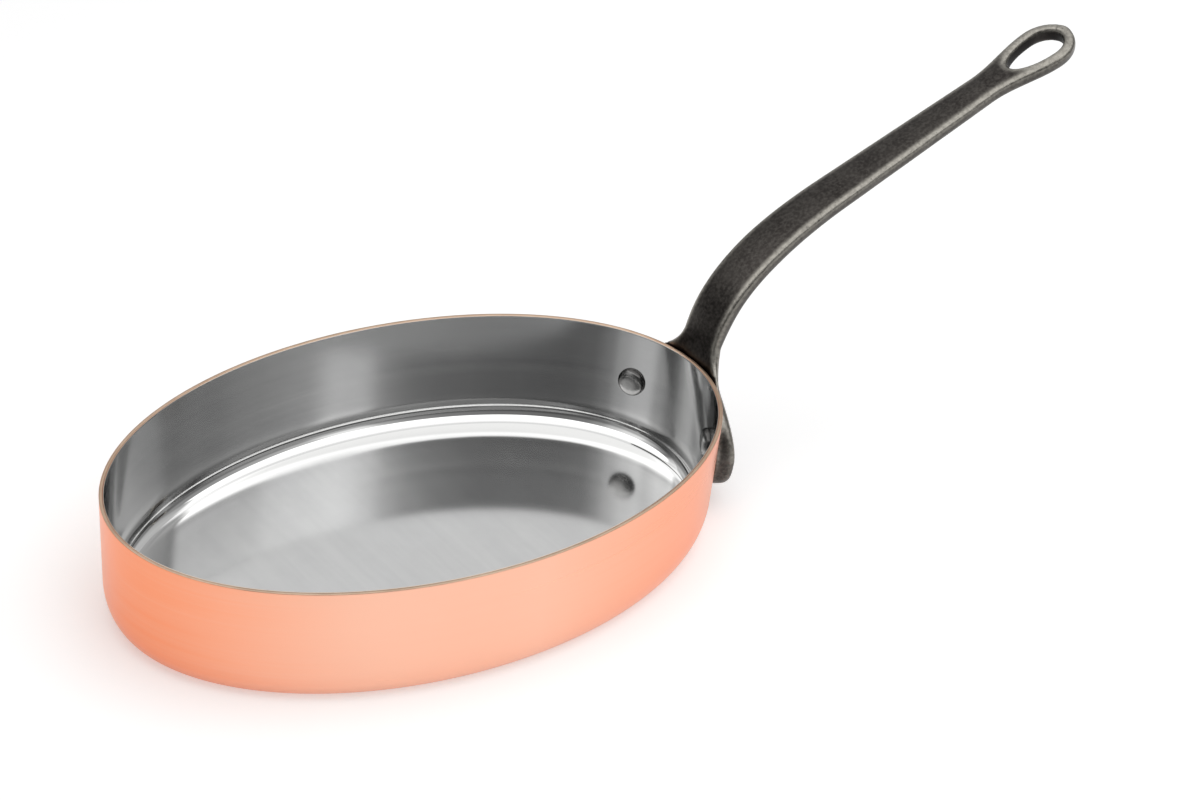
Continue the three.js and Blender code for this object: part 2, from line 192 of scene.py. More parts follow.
# Painted highlight: brighter steel in the corner, where the band of reflected light lies
STEEL_CORNER_HIGHLIGHT = (0.85, 0.85, 0.845, 1)
STEEL_CUT = (0.66, 0.57, 0.48, 1)
WALL_START = (-5, 1)
SATIN_EDGE = (0.76, 0.9)
WALL_ROUGHNESS = (0.09, 0.14)
FLOOR_ROUGHNESS = (0.05, 0.11)
FLOOR_LINE_HEIGHT = 0.2

# Cast iron
IRON = (0.033, 0.029, 0.027, 1), (0.066, 0.06, 0.055, 1)
IRON_SPECK = (0.13, 0.12, 0.11, 1)
# Rubbed wear and painted highlight: the lighter iron on the rounded edges
IRON_RUBBED_HIGHLIGHT = (0.44, 0.42, 0.375, 1)
IRON_PIT = (0.02, 0.018, 0.017, 1)
# Painted shade inside the hanging hole and against the pan
IRON_SHADE = (0.022, 0.02, 0.019, 1)
IRON_ROUGHNESS = (0.28, 0.4)
SHADED_ROUGHNESS = 0.55

# Rivet steel, inside the pan and where it ends outside in the casting
RIVET_BRIGHT = (0.36, 0.357, 0.352, 1), (0.5, 0.495, 0.487, 1)
RIVET_DENT = (0.24, 0.236, 0.232, 1)
# Painted shade: a dark ring round the rivet head's edge
RIVET_EDGE_SHADE = (0.05, 0.048, 0.046, 1)
RIVET_EDGE_SHADE_START = 0.86
RIVET_EDGE_SHADE_DEPTH = 0.85
RIVET_BLACKENED = (0.1, 0.094, 0.088, 1)
RIVET_OUTSIDE = (1.01, 1.03)
RIVET_ROUGHNESS = (0.16, 0.24)
BLACKENED_ROUGHNESS = 0.42

# Camera
CAMERA_PLACE = (-0.74024, -1.05720, 0.89396)
CAMERA_TURN = (57.883, -4.4246, -35.6375)
CAMERA_LENS = 105
CAMERA_SENSOR = 36
CAMERA_REACH = 50

# Floor and lamp
WHITE = (1, 1, 1, 1)
PAPER = (0.82, 0.82, 0.82, 1)
FLOOR_HALF = 6
FLOOR_DROP = 0.0002
FLOOR_GLOW = (0.42, 0.78)
FLOOR_GLOW_REACH = (0.5, 2.5)
FLOOR_GLOW_FOR_METAL = 0.36
LAMP_PLACE = (0.3, -0.3, 1.5)
LAMP_AIM = (0.25, -0.2, 0)
LAMP_SIZE = (2.0, 2.0)
LAMP_WATTS = 19

# The room as metal sees it: (degrees round from +X, brightness) below the overhead light,
# and (degrees round from +X, degrees up) of the light's lower edge
ROOM = (
    (-180, 0.85), (-168, 0.6), (-160, 0.33), (-150, 0.2), (-136, 0.16), (-112, 0.18), (-96, 0.22),
    (-86, 0.28), (-79, 0.42), (-73, 0.92), (-66, 0.95), (-59, 0.55), (-46, 0.42), (-32, 0.32),
    (-16, 0.29), (-8, 0.46), (8, 0.54), (22, 0.5), (38, 0.7), (50, 0.84), (66, 0.84), (85, 0.5),
    (100, 0.55), (118, 0.92), (128, 0.62), (138, 0.2), (146, 0.3), (160, 0.55), (170, 0.9), (180, 0.85),
)
LIGHT_EDGE = (
    (-180, 38.6), (-165, 39.7), (-150, 41), (-104, 41), (-92, 40), (-84, 39), (-78, 38), (-73, 36.9),
    (-66, 34), (-54, 34.8), (-40, 36.7), (-16, 37), (-8, 45), (6, 48), (34, 50), (56, 60), (96, 60),
    (116, 44), (130, 36), (144, 36.2), (164, 37.7), (180, 38.6),
)
ROOM_FULL = 1.2
UPRIGHT = 90
LIGHT_LEVEL = 1.6
LIGHT_SOFTNESS = 0.03
LIGHT_CROWN = (0.74, 0.84)
CROWN_LEVEL = 1.18
HORIZON = (0.31, 0.44)
HORIZON_SHARE = 0.5
AIR_LEVEL = 0.3


# Small curves and blends

def lerp(a, b, share):
    return a + (b - a) * share


def smoothstep(value, low, high):
    """From 0 at low to 1 at high, which may lie below low."""
    share = min(1, max(0, (value - low) / (high - low)))
    return share * share * (3 - 2 * share)


def bezier(points, share):
    """Point of a cubic curve from its four control points."""
    a, b, c, d = (Vector(p) for p in points)
    rest = 1 - share
    return a * rest**3 + b * (3 * rest**2 * share) + c * (3 * rest * share**2) + d * share**3


def superellipse(turn, fullness):
    """(Sine, cosine) of a quarter turn, fuller than a circle's where the fullness is over 2."""
    return math.sin(turn) ** (2 / fullness), max(0, math.cos(turn)) ** (2 / fullness)


# The oval wall

half_length = RIM_LENGTH / 2
half_width = RIM_WIDTH / 2


def oval_normal(angle):
    return Vector((half_width * math.cos(angle), half_length * math.sin(angle), 0)).normalized()


def oval_point(angle, inset, z):
    """The end walls flare more than the side walls, so the oval is a little shorter towards the base."""
    shorter = (END_FLARE - SIDE_FLARE) * max(0, 1 - z / PAN_HEIGHT)
    edge = Vector(((half_length - shorter) * math.cos(angle), half_width * math.sin(angle), z))
    return edge - oval_normal(angle) * inset


def wall_inset(z):
    return SIDE_FLARE * (1 - z / PAN_HEIGHT)


def wall_angle(y):
    return math.asin(min(1, max(-1, y / half_width)))


def beside_wall(y, z, outward):
    """Point outside the end wall; above the rim the wall's line goes straight up."""
    return oval_point(wall_angle(y), wall_inset(min(z, PAN_HEIGHT)) - outward, z)


# Mesh makers

def spun(profile, steps):
    """A closed skin turned about Z from (radius, height) pairs."""
    bm = bmesh.new()
    points = [bm.verts.new((radius, 0, height)) for radius, height in profile]
    edges = [bm.edges.new(pair) for pair in zip(points, points[1:])]
    bmesh.ops.spin(bm, geom=points + edges, cent=(0, 0, 0), axis=(0, 0, 1),
                   angle=math.tau, steps=steps, use_merge=True)
    bmesh.ops.remove_doubles(bm, verts=bm.verts, dist=WELD)
    bmesh.ops.recalc_face_normals(bm, faces=bm.faces)
    return bm


def lofted(rings):
    """A skin bridged from ring to ring and filled at both ends."""
    bm = bmesh.new()
    loops = []
    for ring in rings:
        points = [bm.verts.new(point) for point in ring]
        loops.append([bm.edges.new(pair) for pair in zip(points, points[1:] + points[:1])])
    for low, high in zip(loops, loops[1:]):
        bmesh.ops.bridge_loops(bm, edges=low + high)
    for end in (loops[0], loops[-1]):
        bmesh.ops.contextual_create(bm, geom=end)
    bmesh.ops.recalc_face_normals(bm, faces=bm.faces)
    return bm


def loose_object(bm, name):
    """An object in the scene with a bmesh's mesh, which it takes over."""
    mesh = bpy.data.meshes.new(name)
    bm.to_mesh(mesh)
    bm.free()
    thing = bpy.data.objects.new(name, mesh)
    bpy.context.scene.collection.objects.link(thing)
    return thing


def finished(bm, name, material):
    """Brings a mesh to metres and makes it a smooth piece of the pan."""
    bmesh.ops.scale(bm, vec=(MM, MM, MM), verts=bm.verts)
    piece = loose_object(bm, name)
    piece.data.shade_smooth()
    piece.data.materials.append(material)
    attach(piece, "root")
    return piece


# Pan sheets

corner_inset = wall_inset(CORNER_RISE) + LINING_END + INNER_REACH


def sheet_side(depth, reach, fullness=2):
    """(radius, height) pairs of one side of a sheet, from the base's middle to below the rim.
    The corner is a quarter ellipse, a little squarer inside the pan than outside."""
    rise = CORNER_RISE - depth
    flat = half_length - wall_inset(CORNER_RISE) - depth - reach
    pairs = [(flat * i / FLOOR_RINGS, depth) for i in range(FLOOR_RINGS)]
    pairs.append((flat - FLOOR_SUPPORT, depth))
    for i in range(CORNER_STEPS + 1):
        turn = math.pi / 2 * i / CORNER_STEPS
        out, down = superellipse(turn, fullness)
        pairs.append((flat + reach * out, CORNER_RISE - rise * down))
    top = PAN_HEIGHT - RIM_BEVEL
    heights = [lerp(CORNER_RISE, top, i / WALL_RINGS) for i in range(1, WALL_RINGS)]
    pairs += [(half_length - wall_inset(z) - depth, z) for z in [*heights, top - RIM_SUPPORT, top]]
    return pairs


def inner_side(depth):
    return sheet_side(depth, INNER_REACH + LINING_END - depth, INNER_FULLNESS)


def sheet(outside, inside, outer_depth, inner_depth):
    """A round sheet pan of two sides, pulled to the oval."""
    cut_edge = [
        (half_length - outer_depth - RIM_BEVEL, PAN_HEIGHT),
        (half_length - inner_depth + RIM_BEVEL, PAN_HEIGHT),
    ]
    bm = spun(outside + cut_edge + inside[::-1], OVAL_STEPS)
    flat = half_length - corner_inset
    for vertex in bm.verts:
        radius = math.hypot(vertex.co.x, vertex.co.y)
        angle = math.atan2(vertex.co.y, vertex.co.x)
        if radius >= flat - WELD:
            vertex.co = oval_point(angle, half_length - radius, vertex.co.z)
        else:
            edge = oval_point(angle, corner_inset, vertex.co.z)
            vertex.co = (edge.x * radius / flat, edge.y * radius / flat, vertex.co.z)
    return bm


# Handle path

neck_half = NECK_WIDTH / 2
neck_x = half_length + NECK_STANDOFF
slope = math.radians(GRIP_SLOPE)
grip_direction = Vector((math.cos(slope), 0, math.sin(slope)))
grip_up = Vector((-grip_direction.z, 0, grip_direction.x))
neck_start = Vector((neck_x, 0, PAN_HEIGHT))
grip_start = Vector((neck_x + BEND_REACH, 0, PAN_HEIGHT + BEND_HEIGHT))
grip_end = grip_start + grip_direction * GRIP_LENGTH
neck_controls = [
    neck_start,
    Vector((neck_x, 0, PAN_HEIGHT + NECK_RISE)),
    grip_start - grip_direction * BEND_EASE,
    grip_start,
]
neck_samples = [bezier(neck_controls, i / PATH_SAMPLES) for i in range(PATH_SAMPLES + 1)]
path_points = [Vector((neck_x, 0, PAN_HEIGHT - NECK_ROOT)), *neck_samples, grip_end]
path_reached = [0]
for before, after in zip(path_points, path_points[1:]):
    path_reached.append(path_reached[-1] + (after - before).length)
handle_length = path_reached[-1]
loop_middle = handle_length - LOOP_END
loop_start = loop_middle - LOOP_TAPER
bend_end = handle_length - GRIP_LENGTH


def path_at(distance):
    """Point and direction of the handle's top edge line at a distance."""
    i = 0
    while i < len(path_points) - 2 and path_reached[i + 1] < distance:
        i += 1
    step = path_points[i + 1] - path_points[i]
    share = (distance - path_reached[i]) / (path_reached[i + 1] - path_reached[i])
    return path_points[i] + step * share, step.normalized()


def wall_back(y):
    """How far the oval end wall draws back from its foremost line."""
    return half_length - beside_wall(y, PAN_HEIGHT, 0).x


def saddle(z):
    """Share of the wall's roundness that the neck takes on, none well above the rim."""
    return 1 - smoothstep(z, PAN_HEIGHT, PAN_HEIGHT + SADDLE_HEIGHT)


def neck_lean(z):
    """How far the neck has bent outward at a height above the rim."""
    if z <= PAN_HEIGHT:
        return 0
    for low, high in zip(neck_samples, neck_samples[1:]):
        if high.z >= z:
            return lerp(low.x, high.x, (z - low.z) / (high.z - low.z)) - neck_x
    return 0


# Handle bar

def handle_width(distance):
    if distance > loop_middle:
        return LOOP_WIDTH * math.sqrt(1 - min(1, (distance - loop_middle) / LOOP_END) ** 2)
    taper_start = bend_end - BEND_EASE
    share = min(1, max(0, (distance - taper_start) / (loop_start - taper_start)))
    grip = lerp(NECK_WIDTH, GRIP_WIDTH, share)
    return lerp(grip, LOOP_WIDTH, smoothstep(distance, loop_start, loop_middle))


def handle_thickness(distance):
    neck = lerp(ROOT_THICKNESS, NECK_THICKNESS, smoothstep(distance, NECK_ROOT, NECK_ROOT + NECK_SWELL))
    grip = lerp(neck, GRIP_THICKNESS, smoothstep(distance, NECK_ROOT + NECK_SWELL, bend_end))
    return lerp(grip, LOOP_THICKNESS, smoothstep(distance, loop_start, loop_middle))


def corner_insets(first, second):
    """Points of a rounded corner as distances in from its two faces."""
    turns = [math.pi / 2 * i / ROUNDING_STEPS for i in range(ROUNDING_STEPS + 1)]
    return [(first * (1 - math.cos(turn)), second * (1 - math.sin(turn))) for turn in turns]


def rounding_loss(radius, room):
    """How far a face draws back where its rounding has less room than its radius."""
    return radius - math.sqrt(radius**2 - (radius - min(room, radius)) ** 2)


def handle_ring(distance):
    """The handle's outline across its path."""
    half = handle_width(distance) / 2
    rounding = lerp(EDGE_ROUNDING, LOOP_ROUNDING, smoothstep(distance, loop_start, loop_middle))
    loss = rounding_loss(rounding, half)
    draft = SIDE_DRAFT * min(1, half / neck_half)
    crown = TOP_CROWN * min(1, half / neck_half)
    insets = corner_insets(min(rounding, half - draft), rounding - loss)
    top = -loss
    bottom = loss - handle_thickness(distance)
    upper = [(half - inward, top - down) for inward, down in insets]
    lower = [(half - draft - inward, bottom + up) for inward, up in insets]
    crown_side = [(upper[-1][0] * share, top + crown * (1 - share**2)) for share in (0.75, 0.5, 0.25)]
    right = [*lower[::-1], *upper, *crown_side]
    left = [(-across, up) for across, up in right[::-1]]
    origin, along = path_at(distance)
    return [
        Vector((
            origin.x - along.z * up - saddle(origin.z) * wall_back(across),
            across,
            origin.z + along.x * up,
        ))
        for across, up in [(0, bottom), *right, (0, top + crown), *left]
    ]


def handle_bar():
    distances = []
    for low, high, count in (
        (0, bend_end, BEND_STEPS),
        (bend_end, loop_start, GRIP_STEPS),
        (loop_start, loop_middle, LOOP_STEPS),
    ):
        distances += [lerp(low, high, i / count) for i in range(count)]
    for i in range(LOOP_END_STEPS):
        distances.append(loop_middle + LOOP_END * math.sin(math.pi / 2 * i / LOOP_END_STEPS))
    return lofted([handle_ring(distance) for distance in distances])


def egg_outline(grow):
    """Egg of two half ellipses, grown outward, as (distance from the end, across)."""
    half_across = LOOP_WIDTH / 2 - LOOP_RAIL + grow
    widest = LOOP_RAIL + HOLE_LENGTH - HOLE_TIP_LENGTH
    outline = []
    for i in range(HOLE_STEPS):
        turn = math.tau * i / HOLE_STEPS
        reach = grow + (HOLE_TIP_LENGTH if math.cos(turn) > 0 else HOLE_LENGTH - HOLE_TIP_LENGTH)
        outline.append((widest + reach * math.cos(turn), half_across * math.sin(turn)))
    return outline


def hanging_hole():
    top = TOP_CROWN / 2
    levels = [(top - down, grow) for grow, down in corner_insets(HOLE_ROUNDING, HOLE_ROUNDING)][::-1]
    levels.insert(0, (top + TOOL_OVERRUN, HOLE_ROUNDING))
    mirrored = [(top - LOOP_THICKNESS - up, grow) for up, grow in levels[::-1]]
    return lofted([
        [
            grip_end - grip_direction * till_end + grip_up * up + Vector((0, across, 0))
            for till_end, across in egg_outline(grow)
        ]
        for up, grow in levels + mirrored
    ])


# Bracket

def bracket_edges(side_share):
    """Lower and upper edge points (y, z) of one half, at a share of the way to the lobe's side."""
    bracket_half = BRACKET_WIDTH / 2
    shoulder_top = PAN_HEIGHT + SHOULDER_RISE
    shoulder_bottom = PAN_HEIGHT - SHOULDER_DROP
    inner = neck_half - SHOULDER_LEAN / 2
    lobe_side = (bracket_half, LOBE_MIDDLE)
    shoulder = [(inner, shoulder_top), (neck_half, shoulder_bottom),
                (bracket_half - SHOULDER_LEAN, shoulder_bottom), lobe_side]
    arch = [(0, ARCH_TOP), (ARCH_REACH, ARCH_TOP),
            (LOBE_SPREAD - ARCH_RETURN, LOBE_BOTTOM), (LOBE_SPREAD, LOBE_BOTTOM)]
    toe = [(LOBE_SPREAD, LOBE_BOTTOM), (LOBE_SPREAD + LOBE_TOE_REACH, LOBE_BOTTOM),
           (bracket_half, LOBE_MIDDLE - LOBE_SIDE_DROP), lobe_side]
    upper = along_curves([[(0, shoulder_top)] * 2 + [(inner, shoulder_top)] * 2, shoulder], side_share)
    lower = along_curves([arch, toe], side_share)
    return lower, upper


def along_curves(curves, share):
    """Point at a share of the length of cubic curves that follow each other."""
    steps = [i / BRACKET_CURVE_STEPS for i in range(BRACKET_CURVE_STEPS + 1)]
    samples = [bezier([(*p, 0) for p in controls], step) for controls in curves for step in steps]
    reached = [0]
    for before, after in zip(samples, samples[1:]):
        reached.append(reached[-1] + (after - before).length)
    wanted = share * reached[-1]
    for i in range(len(samples) - 1):
        if reached[i + 1] >= wanted and reached[i + 1] > reached[i]:
            return samples[i].lerp(samples[i + 1], (wanted - reached[i]) / (reached[i + 1] - reached[i])).xy
    return samples[-1].xy


def bracket_outer(y, z):
    height = smoothstep(z, LOBE_MIDDLE, PAN_HEIGHT)
    lobe = lerp(LOBE_THICKNESS, SHOULDER_THICKNESS, height)
    middle = lerp(LOBE_THICKNESS, NECK_STANDOFF + ROOT_THICKNESS, height)
    return lerp(middle, lobe, smoothstep(abs(y), WING_START, WING_END))


def bracket_inner(z):
    step = smoothstep(z, PAN_HEIGHT - RIM_STEP_START, PAN_HEIGHT - RIM_STEP_END)
    return lerp(CASTING_GAP, NECK_STANDOFF, step)


def bracket_point(y, z, outward):
    point = beside_wall(y, z, outward)
    point.x += neck_lean(z) + (1 - saddle(z)) * wall_back(y)
    return point


def bracket_ring(low, high):
    """One column of the bracket: over the top, down the outer face and back up the inner one."""
    height = (high - low).length
    rounding_up = min(BRACKET_ROUNDING, height / 2)
    back_up = min(BRACKET_BACK_ROUNDING, height / 2)
    loss = rounding_loss(BRACKET_ROUNDING, rounding_up)
    back_loss = rounding_loss(BRACKET_BACK_ROUNDING, back_up)

    def back_point(up, from_inner):
        y, z = low.lerp(high, up / height)
        return bracket_point(y, z, bracket_inner(z) + back_loss + from_inner)

    def face_point(up, from_outer):
        y, z = low.lerp(high, up / height)
        least = bracket_inner(z) + BRACKET_BACK_ROUNDING + CASTING_GAP
        return bracket_point(y, z, max(bracket_outer(y, z) - loss - from_outer, least))

    insets = corner_insets(BRACKET_ROUNDING, rounding_up)
    back_insets = corner_insets(BRACKET_BACK_ROUNDING - back_loss, back_up)
    steps = [(i + 0.5) / BRACKET_FACE_STEPS for i in range(BRACKET_FACE_STEPS)]
    return [
        *[back_point(height - down, inward) for inward, down in back_insets],
        *[face_point(height - down, inward) for inward, down in insets[::-1]],
        *[face_point(lerp(height - rounding_up, rounding_up, step), 0) for step in steps],
        *[face_point(up, inward) for inward, up in insets],
        *[back_point(up, inward) for inward, up in back_insets[::-1]],
        *[back_point(lerp(back_up, height - back_up, step), 0) for step in steps],
    ]


def bracket_plate():
    rings = []
    for i in range(-BRACKET_COLUMNS, BRACKET_COLUMNS + 1):
        share = BRACKET_SIDE_SHARE * math.sin(math.pi / 2 * abs(i) / BRACKET_COLUMNS)
        low, high = bracket_edges(share)
        if i < 0:
            low.x, high.x = -low.x, -high.x
        rings.append(bracket_ring(low, high))
    return lofted(rings)


# The casting: bar and bracket grown together, with the hanging hole cut

def with_modifiers(thing):
    """The thing's mesh with its modifiers applied; the thing itself goes."""
    view = bpy.context.evaluated_depsgraph_get()
    mesh = bpy.data.meshes.new_from_object(thing.evaluated_get(view))
    bpy.data.objects.remove(thing)
    bm = bmesh.new()
    bm.from_mesh(mesh)
    bpy.data.meshes.remove(mesh)
    return bm


def casting():
    hole = loose_object(hanging_hole(), "hole_tool")
    bar = loose_object(handle_bar(), "bar")
    cut = bar.modifiers.new("hole", "BOOLEAN")
    cut.operation = "DIFFERENCE"
    cut.solver = "EXACT"
    cut.object = hole
    joined = with_modifiers(bar)
    bpy.data.objects.remove(hole)
    plate = bracket_plate()
    plate_mesh = bpy.data.meshes.new("plate")
    plate.to_mesh(plate_mesh)
    plate.free()
    joined.from_mesh(plate_mesh)
    bpy.data.meshes.remove(plate_mesh)
    rough = loose_object(joined, "rough_casting")
    skin = rough.modifiers.new("skin", "REMESH")
    skin.mode = "VOXEL"
    skin.voxel_size = CASTING_VOXEL
    smooth = rough.modifiers.new("smooth", "SMOOTH")
    smooth.factor = 0.5
    smooth.iterations = CASTING_SMOOTHING
    return with_modifiers(rough)


def mark_painted_shade(piece):
    """Marks the casting's surface inside the hanging hole and against the pan, for painted shade there."""
    marks = piece.data.attributes.new(PAINTED_SHADE, "FLOAT", "POINT").data
    centre = grip_end - grip_direction * (LOOP_RAIL + HOLE_LENGTH / 2)
    half_hole = HOLE_LENGTH / 2
    half_across = LOOP_WIDTH / 2 - LOOP_RAIL
    for vertex, mark in zip(piece.data.vertices, marks):
        point = vertex.co / MM
        along = (point - centre).dot(grip_direction) / half_hole
        from_hole = math.hypot(along, point.y / half_across)
        below = (grip_end - point).dot(grip_up)
        round_hole = 1 - smoothstep(from_hole, *SHADE_ROUND_HOLE)
        in_hole = round_hole * smoothstep(below, *SHADE_IN_HOLE)
        wall = oval_normal(math.atan2(point.y / half_width, point.x / half_length))
        to_pan = smoothstep(wall.dot(vertex.normal), *SHADE_TO_PAN)
        mark.value = max(in_hole, to_pan if point.z < PAN_HEIGHT else 0)


def mark_wear_and_highlight(piece):
    """Marks the casting's rounded edges for rubbed wear and a painted highlight, the upward-facing ones
    most, where the light from above falls.
    """
    mesh = piece.data
    count = len(mesh.vertices)
    points, normals = np.empty(count * 3), np.empty(count * 3)
    mesh.vertices.foreach_get("co", points)
    mesh.vertices.foreach_get("normal", normals)
    points, normals = points.reshape(-1, 3) / MM, normals.reshape(-1, 3)
    ends = np.empty(len(mesh.edges) * 2, dtype=int)
    mesh.edges.foreach_get("vertices", ends)
    first, second = ends.reshape(-1, 2).T

    def around(at_first, at_second):
        return np.bincount(first, at_first, count) + np.bincount(second, at_second, count)

    step = points[second] - points[first]
    square = (step**2).sum(axis=1)
    neighbours = around(np.ones(len(first)), np.ones(len(first)))
    bend_first = -2 * (step * normals[first]).sum(axis=1) / square
    bend_second = 2 * (step * normals[second]).sum(axis=1) / square
    bend = around(bend_first, bend_second) / neighbours
    for _ in range(WEAR_HIGHLIGHT_SOFTENING):
        bend = (bend + around(bend[second], bend[first]) / neighbours) / 2
    worn_and_lit = np.clip((bend - WEAR_HIGHLIGHT_START) / (WEAR_HIGHLIGHT_FULL - WEAR_HIGHLIGHT_START), 0, 1)
    # Painted highlight: edges facing up get more, as the light falls from above
    worn_and_lit *= np.interp(normals[:, 2], HIGHLIGHT_FACING, (HIGHLIGHT_BELOW, 1))
    mesh.attributes.new(WEAR_AND_HIGHLIGHT, "FLOAT", "POINT").data.foreach_set("value", worn_and_lit)


# Rivets

def rivet_piece(side, skin):
    """Domed head inside the pan, shank through both sheets and the lobe, tail ground flush with the lobe."""
    y = side * RIVET_SPACING / 2
    face = bracket_outer(RIVET_SPACING / 2, RIVET_HEIGHT)
    shank = RIVET_HEAD_RADIUS / 2
    profile = [(0, -LINING_END - RIVET_HEAD_HEIGHT)]
    for i in range(1, RIVET_HEAD_STEPS + 1):
        out, rise = superellipse(math.pi / 2 * i / RIVET_HEAD_STEPS, RIVET_HEAD_FULLNESS)
        dome = RIVET_HEAD_UNDERCUT + (RIVET_HEAD_HEIGHT - RIVET_HEAD_UNDERCUT) * rise
        profile.append((RIVET_HEAD_RADIUS * out, -LINING_END - dome))
    profile += [
        (RIVET_HEAD_RADIUS - RIVET_HEAD_UNDERCUT, -LINING_END),
        (shank, -LINING_END + CASTING_GAP),
        (shank, face - RIVET_TAIL_DEPTH),
        (RIVET_TAIL_RADIUS, face - RIVET_TAIL_LAND),
        (RIVET_TAIL_RADIUS, face - RIVET_TAIL_SEAM),
    ]
    profile += [(RIVET_TAIL_RADIUS * share, face + RIVET_TAIL_PROUD) for share in RIVET_TAIL_RINGS]
    bm = spun(profile, RIVET_STEPS)
    level = oval_normal(wall_angle(y))
    flare = (beside_wall(y, PAN_HEIGHT, 0) - beside_wall(y, 0, 0)).dot(level)
    tilt = math.atan(flare / PAN_HEIGHT)
    outward = level * math.cos(tilt) - Vector((0, 0, math.sin(tilt)))
    foot = beside_wall(y, RIVET_HEIGHT, 0)
    turned = Vector((0, 0, 1)).rotation_difference(outward)
    for vertex in bm.verts:
        proud = vertex.co.z - face
        if proud > -RIVET_TAIL_LAND / 2:
            above = foot + turned @ Vector((vertex.co.x, vertex.co.y, face + RIVET_TAIL_DEPTH))
            on_lobe = skin.ray_cast(above, -outward)[0]
            vertex.co.z = (on_lobe - foot).dot(outward) + proud
    bmesh.ops.transform(bm, matrix=turned.to_matrix().to_4x4(), verts=bm.verts)
    bmesh.ops.translate(bm, vec=foot, verts=bm.verts)
    return bm


# Shader nodes

FLOAT, VECTOR = "NodeSocketFloat", "NodeSocketVector"


def node(tree, kind, settings=(), **values):
    """A node with its settings and the values or links of its inputs, by name or as i0, i1, i2."""
    made = tree.nodes.new(kind)
    for key, value in dict(settings).items():
        setattr(made, key, value)
    for key, value in values.items():
        by_place = key[0] == "i" and key[1:].isdigit()
        set_input(tree, made.inputs[int(key[1:]) if by_place else key.replace("_", " ")], value)
    return made


def set_input(tree, socket, value):
    """Links a socket, or gives it a plain value."""
    if isinstance(value, bpy.types.NodeSocket):
        tree.links.new(value, socket)
    else:
        socket.default_value = value


def worked_out(tree, operation, *values, clamp=False):
    """A number worked out from others."""
    made = node(tree, "ShaderNodeMath", {"operation": operation, "use_clamp": clamp})
    for socket, value in zip(made.inputs, values):
        set_input(tree, socket, value)
    return made.outputs[0]


def vectors(tree, operation, *values):
    """A vector, or a length or distance, worked out from vectors."""
    made = node(tree, "ShaderNodeVectorMath", {"operation": operation})
    for socket, value in zip(made.inputs, values):
        set_input(tree, socket, value)
    return made.outputs["Value" if operation in ("LENGTH", "DISTANCE") else "Vector"]


def blended(tree, share, first, second):
    """A number from first to second by share."""
    return node(tree, "ShaderNodeMix", {"data_type": "FLOAT"}, i0=share, i2=first, i3=second).outputs[0]


def mixed(tree, share, first, second):
    """A colour from first to second by share."""
    return node(tree, "ShaderNodeMix", {"data_type": "RGBA"}, i0=share, i6=first, i7=second).outputs[2]


def ranged(tree, value, low, high, to_low, to_high, smooth=False):
    """A number brought from one range to another."""
    settings = {"interpolation_type": "SMOOTHSTEP" if smooth else "LINEAR"}
    return node(tree, "ShaderNodeMapRange", settings, Value=value,
                From_Min=low, From_Max=high, To_Min=to_low, To_Max=to_high).outputs[0]


def tinted(tree, base, colour, mask, depth):
    """The base with a colour laid over it by a mask, up to a depth."""
    return mixed(tree, ranged(tree, mask, 0, 1, 0, depth), base, colour)


def noise(tree, place, scale, detail, **more):
    """Noise at a place, with its scale in patches to the place's own unit."""
    return node(tree, "ShaderNodeTexNoise", Vector=place, Scale=scale, Detail=detail, **more).outputs[0]


def split(tree, place):
    """The X, Y and Z of a place."""
    return node(tree, "ShaderNodeSeparateXYZ", Vector=place).outputs


# Effects that several finishes share

def group(name, inputs, outputs):
    """An empty effect group that reads the place on a surface, with its inputs to read and its numbers
    to put out."""
    tree = bpy.data.node_groups.new(name, "ShaderNodeTree")
    tree.interface.new_socket("Place", in_out="INPUT", socket_type=VECTOR)
    for label, kind, value in inputs:
        tree.interface.new_socket(label, in_out="INPUT", socket_type=kind).default_value = value
    for label in outputs:
        tree.interface.new_socket(label, in_out="OUTPUT", socket_type=FLOAT)
    return tree, tree.nodes.new("NodeGroupInput").outputs, tree.nodes.new("NodeGroupOutput").inputs


def polishing_lines():
    """Fine lines left by polishing, drawn out by a stretch vector, with wider bands among them."""
    tree, start, end = group(
        "polishing lines",
        [("Stretch", VECTOR, (1, 1, 1)), ("Breaks", FLOAT, 0.4)],
        ["Height", "Shade"],
    )
    place = vectors(tree, "MULTIPLY", start["Place"], start["Stretch"])
    fine = noise(tree, place, scale=1.0, detail=2.0, Roughness=start["Breaks"])
    wide_place = node(tree, "ShaderNodeVectorMath", {"operation": "SCALE"}, i0=place, Scale=0.17).outputs[0]
    wide = noise(tree, wide_place, scale=1.0, detail=2.0)
    both = worked_out(tree, "MULTIPLY_ADD", fine, 0.5, wide)
    tree.links.new(fine, end["Height"])
    tree.links.new(ranged(tree, both, 0.5, 1.0, 0, 1), end["Shade"])
    return tree


def cloudy_tone():
    """Soft patches of handling and heat, from 0 to 1."""
    tree, start, end = group(
        "cloudy tone",
        [("Patches per metre", FLOAT, 20.0), ("Contrast", FLOAT, 1.0)],
        ["Tone"],
    )
    cloud = noise(tree, start["Place"], start["Patches per metre"], detail=5.0, Roughness=0.55)
    centred = worked_out(tree, "SUBTRACT", cloud, 0.5)
    spread = worked_out(tree, "MULTIPLY_ADD", centred, start["Contrast"], 0.5, clamp=True)
    tree.links.new(spread, end["Tone"])
    return tree


